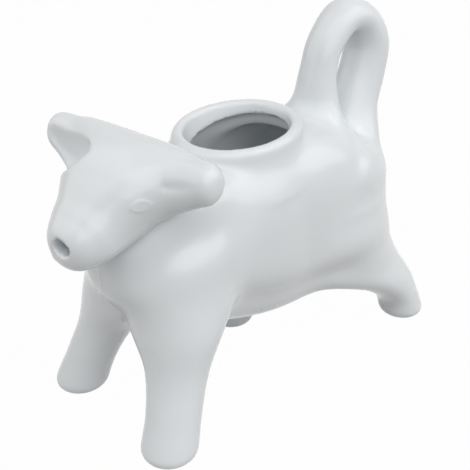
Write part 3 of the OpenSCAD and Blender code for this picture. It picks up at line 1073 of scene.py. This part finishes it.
@dataclass
class CowCreamer:
    """The creamer: its pieces are luted, hollowed, given their relief and parted into named pieces."""

    clay: Clay
    barrel: Barrel = field(default_factory=Barrel)
    mouth: FillingMouth = field(default_factory=FillingMouth)
    head: Head = field(default_factory=Head)
    ears: Ears = field(default_factory=Ears)
    passage: Passage = field(default_factory=Passage)
    tail: Tail = field(default_factory=Tail)
    fillets: Fillets = field(default_factory=Fillets)
    seam: MouldSeam = field(default_factory=MouldSeam)
    hollows: tuple[SoftHollow, ...] = (
        SoftHollow("beside the tail", 4.2, (0.2, 0.6, 0.9, 0.9, 0.7, 0.3, 0), (
            (10, 34, 76.5), (13, 33.5, 73.5), (17.5, 31.5, 71.5), (20.5, 29.5, 69), (22, 27.5, 66),
            (23, 25.5, 63.5), (23, 23, 59))),
        SoftHollow("neck", 5.0, (0.9, 1.8, 2.1, 2.0, 1.6, 0.8), (
            (13.5, -47.5, 53), (16.5, -44, 57.5), (19, -39.5, 61), (20.5, -35, 63), (21.5, -30.5, 64),
            (21.5, -26.5, 65.5))),
        SoftHollow("behind the shoulder", 4.5, (0.4, 0.8, 1.0, 1.2, 1.2), (
            (19.5, -22, 70), (21.5, -22.5, 63.5), (23.5, -23, 57), (24.5, -24.5, 51), (24.5, -25, 45))),
        SoftHollow("ahead of the haunch", 6.0, (0.2, 0.8, 1.1, 1.1, 0.8), (
            (19.5, 4, 73), (22.5, 3.5, 66), (23, 5, 56.5), (23.5, 6, 46), (23, 5.5, 39.5))),
        SoftHollow("under the belly", 5.5, (1.0, 1.8, 1.8, 2.1, 2.5, 2.2, 0.2), (
            (23.5, -22, 41.5), (20, -13, 33.5), (20, -4, 32), (20.5, 5.5, 31.5), (22, 15.5, 31),
            (24, 24, 31.5), (24.5, 32.5, 31.5))))
    # longest edge left in fine relief; reach of the relief's slope and of the pooled glaze and painted shade
    fine_edge: float = 0.4
    relief_step: float = 0.08
    pool_and_shade_span: float = 1.6
    pool_and_shade_gain: float = 1.6
    # deeper in the body than this, a face is the body's, whatever reaches in there
    body_depth: float = 1.0
    least_slope: float = 0.2

    @property
    def legs(self) -> dict[Piece, Leg]:
        """The four walking legs."""
        return {Piece.FRONT_LEFT: Leg.front(Side.LEFT), Piece.FRONT_RIGHT: Leg.front(Side.RIGHT),
                Piece.REAR_LEFT: Leg.rear(Side.LEFT, foot=(19.0, 60.0)),
                Piece.REAR_RIGHT: Leg.rear(Side.RIGHT, foot=(17.6, 10.6))}

    @property
    def eyes(self) -> list[Eye]:
        """Both eyes."""
        return [Eye(side) for side in Side]

    def raw_pieces(self) -> dict[Piece, Array]:
        """The pieces as they come from their moulds.

        Returns:
            Distance field of each piece before luting.
        """
        clay, head, fillets = self.clay, self.head, self.fillets
        barrel, collar = self.barrel.form(), self.mouth.collar()
        body = blended(clay.distances(barrel), clay.distances(collar), fillets.collar)
        skull = blended(clay.distances(head.form()), clay.distances(self.ears.bar(head)), fillets.ears)
        for side in Side:
            skull = hollowed(skull, clay.distances(self.ears.dish(head, side)), fillets.dish_edge)
        raw = {Piece.BODY: body, Piece.HEAD: skull}
        raw |= {name: clay.distances(leg.form()) for name, leg in self.legs.items()}
        raw[Piece.TAIL] = clay.distances(self.tail.form())
        return raw

    def hollow(self) -> Array:
        """Everything that milk fills.

        Returns:
            Its distance field.
        """
        clay, fillets = self.clay, self.fillets
        inside = clay.distances(self.barrel.form(self.barrel.wall))
        inside = blended(inside, clay.distances(self.mouth.shoulder()), fillets.room)
        inside = blended(inside, clay.distances(self.mouth.opening()), fillets.throat)
        channel, hole = self.passage.channel(self.head), self.passage.hole(self.head)
        way = blended(clay.distances(channel), clay.distances(hole), fillets.hole)
        return blended(inside, way, fillets.neck)

    def luted(self, raw: dict[Piece, Array]) -> Array:
        """The pieces luted into one solid, with fillets as wide as the sponge left them.

        Args:
            raw: distance fields of the pieces.

        Returns:
            The distance field of the hollow creamer.
        """
        solid = raw[Piece.BODY]
        for name, reach in self.fillets.luting:
            solid = blended(solid, raw[name], reach)
        return hollowed(solid, self.hollow(), self.fillets.open_edge)

    def settled(self, solid: Array, points: Array, rounds: int = 2) -> tuple[Array, Array]:
        """Points moved onto the solid's surface.

        Args:
            solid: its distance field.
            points: points close to the surface.
            rounds: how often they are moved.

        Returns:
            The points, and the surface's normals there.
        """
        for _ in range(rounds):
            slope = self.clay.slope(solid, points, self.clay.step / 2)
            steepness = np.maximum((slope**2).sum(1), self.least_slope)
            points = points - slope * (self.clay.sampled(solid, points) / steepness)[:, None]
        slope = self.clay.slope(solid, points, self.clay.step)
        return points, slope / np.linalg.norm(slope, axis=1, keepdims=True)

    def pool_and_shade_at(self, solid: Array, points: Array) -> Array:
        """How much glaze pools, and shade is painted, at points of the skin.

        Args:
            solid: the creamer's distance field.
            points: the points, in millimetres.

        Returns:
            Shares from 0, where the skin is flat or bulges, to 1 in a sharp fold.
        """
        spans = np.concatenate([np.eye(3), -np.eye(3)]) * self.pool_and_shade_span
        bend = sum(self.clay.sampled(solid, points + span) for span in spans)
        bend = (bend - len(spans) * self.clay.sampled(solid, points)) / self.pool_and_shade_span**2
        # the more the skin folds in, the greyer it is painted: pooled glaze and painted shade
        return np.clip(-bend * self.pool_and_shade_gain, 0, 1)

    def relief(self, points: Array, normals: Array) -> Array:
        """Height of all the relief.

        Args:
            points: points of the skin, in millimetres.
            normals: the skin's normals there.

        Returns:
            Heights in millimetres.
        """
        marks = [eye.height(points, self.head) for eye in self.eyes]
        marks += [hollow.height(points) for hollow in self.hollows]
        return sum(marks) + self.seam.height(points, normals)

    def worked(self, points: Array, normals: Array) -> tuple[Array, Array]:
        """Works the relief into the skin.

        Args:
            points: points of the skin, in millimetres.
            normals: the skin's normals there.

        Returns:
            The moved points, and their normals bent by the relief's slope.
        """
        tilt = np.stack([self.relief(points + step, normals) - self.relief(points - step, normals)
                         for step in np.eye(3) * self.relief_step], -1) / (2 * self.relief_step)
        tilt -= normals * (tilt * normals).sum(1, keepdims=True)
        bent = normals - tilt
        for hollow in self.hollows:
            LOG.info("hollow pressed in: %s, %.1f mm deep", hollow.where, max(hollow.depths))
        return (points + normals * self.relief(points, normals)[:, None],
                bent / np.linalg.norm(bent, axis=1, keepdims=True))

    def skin(self, facet: float) -> tuple[Skin, dict[Piece, Array]]:
        """Models the whole skin.

        Args:
            facet: size of a face before the relief is worked in, in millimetres.

        Returns:
            The skin, and the distance fields of the raw pieces.
        """
        raw = self.raw_pieces()
        solid = self.luted(raw)
        points, faces = self.clay.skin(solid, facet)
        LOG.info("skin modelled: %d triangles", len(faces))

        def needs_fine(at: Array) -> Array:
            """Points that lie in the relief of an eye or the seam."""
            near_eye = np.any([eye.near(at, self.head) for eye in self.eyes], axis=0)
            return near_eye | self.seam.near(at, self.clay.slope(solid, at, self.clay.step))

        points, faces = refined(self.settled(solid, points)[0], faces, needs_fine, self.fine_edge)
        LOG.info("skin refined: %d triangles", len(faces))
        points, normals = self.settled(solid, points)
        return Skin(*self.worked(points, normals), faces, self.pool_and_shade_at(solid, points)), raw

    def parted(self, skin: Skin, raw: dict[Piece, Array]) -> dict[Piece, Array]:
        """Shares the skin's faces out to the pieces that they belong to.

        Args:
            skin: the whole skin.
            raw: distance fields of the pieces before luting.

        Returns:
            Face numbers for each piece.
        """
        middles = skin.points[skin.faces].mean(1)
        names = list(raw)
        body = names.index(Piece.BODY)
        reach = np.stack([self.clay.sampled(raw[name], middles) for name in names])
        nearest = np.where(reach[body] < -self.body_depth, body, reach.argmin(0))
        return {name: np.flatnonzero(nearest == i) for i, name in enumerate(names)}

    def build(self, facet: float, glaze: bpy.types.Material) -> list[bpy.types.Object]:
        """Builds every piece and sets it in the frame.

        Args:
            facet: size of a face before the relief is worked in, in millimetres.
            glaze: the finish of all the pieces.

        Returns:
            The pieces.
        """
        skin, raw = self.skin(facet)
        return [skin.piece(name, faces, glaze) for name, faces in self.parted(skin, raw).items()]


# Studio


def direction(bearing: float, elevation: float) -> Vector:
    """Direction toward a bearing, in degrees from the cow's nose toward its left, and an elevation."""
    b, e = math.radians(bearing), math.radians(elevation)
    return Vector((math.sin(b) * math.cos(e), -math.cos(b) * math.cos(e), math.sin(e)))


def set_up(name: str, data: bpy.types.ID, place: Vector, ahead: Vector) -> bpy.types.Object:
    """Sets up a lamp or a camera.

    Args:
        name: its name.
        data: the lamp or the camera.
        place: where it stands, in metres.
        ahead: the direction that it faces.

    Returns:
        The object.
    """
    held = bpy.data.objects.new(name, data)
    held.location = place
    held.rotation_euler = ahead.to_track_quat("-Z", "Y").to_euler()
    bpy.context.scene.collection.objects.link(held)
    return held


@dataclass(frozen=True)
class SoftLamp:
    """A large soft box that faces the creamer."""

    name: str
    bearing: float
    elevation: float
    power: float
    distance: float
    size: float

    def hang(self, target: Vector) -> None:
        """Hangs the lamp so that it faces the target.

        Args:
            target: the point that it lights, in metres.
        """
        lamp = bpy.data.lights.new(self.name, "AREA")
        lamp.shape = "SQUARE"
        lamp.size = self.size
        lamp.energy = self.power
        away = direction(self.bearing, self.elevation)
        set_up(self.name, lamp, target + away * self.distance, -away)


def seen_white(tree: bpy.types.NodeTree) -> bpy.types.NodeSocket:
    """Tells rays that see the room from light on the object.

    Args:
        tree: the node tree that needs to know.

    Returns:
        A socket with 1 for rays from the camera and for mirrored or refracted ones, else 0.
    """
    path = add_node(tree, "ShaderNodeLightPath")
    total = add_node(tree, "ShaderNodeMath", {"operation": "MAXIMUM"}, n0=path.outputs["Is Camera Ray"],
                     n1=path.outputs["Is Glossy Ray"])
    total = add_node(tree, "ShaderNodeMath", {"operation": "MAXIMUM"}, n0=total.outputs["Value"],
                     n1=path.outputs["Is Transmission Ray"])
    return total.outputs["Value"]


@dataclass(frozen=True)
class WhitePaper:
    """White background paper, matt and uncoated."""

    # the eye gets an even white ground that keeps a faint soft shadow
    colour: str = "#A2A2A2"
    white_share: float = 0.985

    def material(self) -> bpy.types.Material:
        """The paper as a material.

        Returns:
            The material: mostly white of its own where it is seen, and plain matt paper for the light.
        """
        made = bpy.data.materials.new("white_paper")
        tree = empty_tree(made)
        paper = add_node(tree, "ShaderNodeBsdfDiffuse", Color=linear(self.colour))
        white = add_node(tree, "ShaderNodeEmission", Color=WHITE, Strength=1.0)
        share = add_node(tree, "ShaderNodeMath", {"operation": "MULTIPLY"}, n0=seen_white(tree),
                         n1=self.white_share)
        mixed = add_node(tree, "ShaderNodeMixShader", n0=share.outputs["Value"], n1=paper.outputs["BSDF"],
                         n2=white.outputs["Emission"])
        add_node(tree, "ShaderNodeOutputMaterial", Surface=mixed.outputs["Shader"])
        return made


@dataclass
class Studio:
    """A white sweep under soft boxes, seen from the photograph's place."""

    camera_place: tuple[float, float, float] = (173.65 * MM, -159.99 * MM, 169.40 * MM)
    azimuth: float = 47.91
    elevation: float = 27.94
    focal_pixels: float = 862.82
    frame_pixels: float = 470.0
    sensor_mm: float = 36.0
    nearest_seen: float = 0.01
    ambient: float = 0.09
    floor_size: float = 6.0
    floor_cells: int = 12
    aim: tuple[float, float, float] = (0.0, 0.0, 0.05)
    lamps: tuple[SoftLamp, ...] = (
        SoftLamp("key_box", bearing=55.0, elevation=45.0, power=10.6, distance=1.3, size=1.6),
        SoftLamp("front_box", bearing=-42.0, elevation=33.0, power=6.6, distance=1.3, size=1.5),
        SoftLamp("rear_box", bearing=125.0, elevation=38.0, power=9.0, distance=1.3, size=1.4))

    def world(self) -> None:
        """A white room that lights softly from all round."""
        world = bpy.data.worlds.new("white_room")
        bpy.context.scene.world = world
        tree = empty_tree(world)
        light = add_node(tree, "ShaderNodeBackground", Color=WHITE, Strength=self.ambient)
        white = add_node(tree, "ShaderNodeBackground", Color=WHITE, Strength=1.0)
        mixed = add_node(tree, "ShaderNodeMixShader", n0=seen_white(tree), n1=light.outputs["Background"],
                         n2=white.outputs["Background"])
        add_node(tree, "ShaderNodeOutputWorld", Surface=mixed.outputs["Shader"])

    def floor(self) -> None:
        """The white sweep that the creamer stands on; it keeps a faint shadow."""
        half, row = self.floor_size / 2, self.floor_cells + 1
        steps = np.linspace(-half, half, row)
        corners = [j * row + i for j, i in product(range(self.floor_cells), repeat=2)]
        mesh = bpy.data.meshes.new("white_floor")
        mesh.from_pydata([(x, y, 0.0) for y, x in product(steps, repeat=2)], [],
                         [(k, k + 1, k + row + 1, k + row) for k in corners])
        mesh.materials.append(WhitePaper().material())
        sweep = bpy.data.objects.new("white_floor", mesh)
        bpy.context.scene.collection.objects.link(sweep)

    def camera(self) -> None:
        """The camera at the photograph's viewing angle."""
        lens = bpy.data.cameras.new("camera")
        lens.sensor_width = self.sensor_mm
        lens.lens = self.focal_pixels / self.frame_pixels * lens.sensor_width
        lens.clip_start = self.nearest_seen
        ahead = -direction(self.azimuth, self.elevation)
        bpy.context.scene.camera = set_up("camera", lens, Vector(self.camera_place), ahead)

    def build(self) -> None:
        """Sets up the whole studio."""
        self.world()
        self.floor()
        self.camera()
        for lamp in self.lamps:
            lamp.hang(Vector(self.aim))
        bpy.context.scene.view_settings.view_transform = "Standard"


def main() -> None:
    """Builds the creamer and its studio, and reports each piece."""
    logging.basicConfig(level=logging.INFO, format="%(message)s")
    Studio().build()
    cell, facet = FINE
    pieces = CowCreamer(Clay(cell)).build(facet, PorcelainGlaze().material())
    LOG.info("%d pieces set in the frame", len(pieces))


if __name__ == "__main__":
    main()
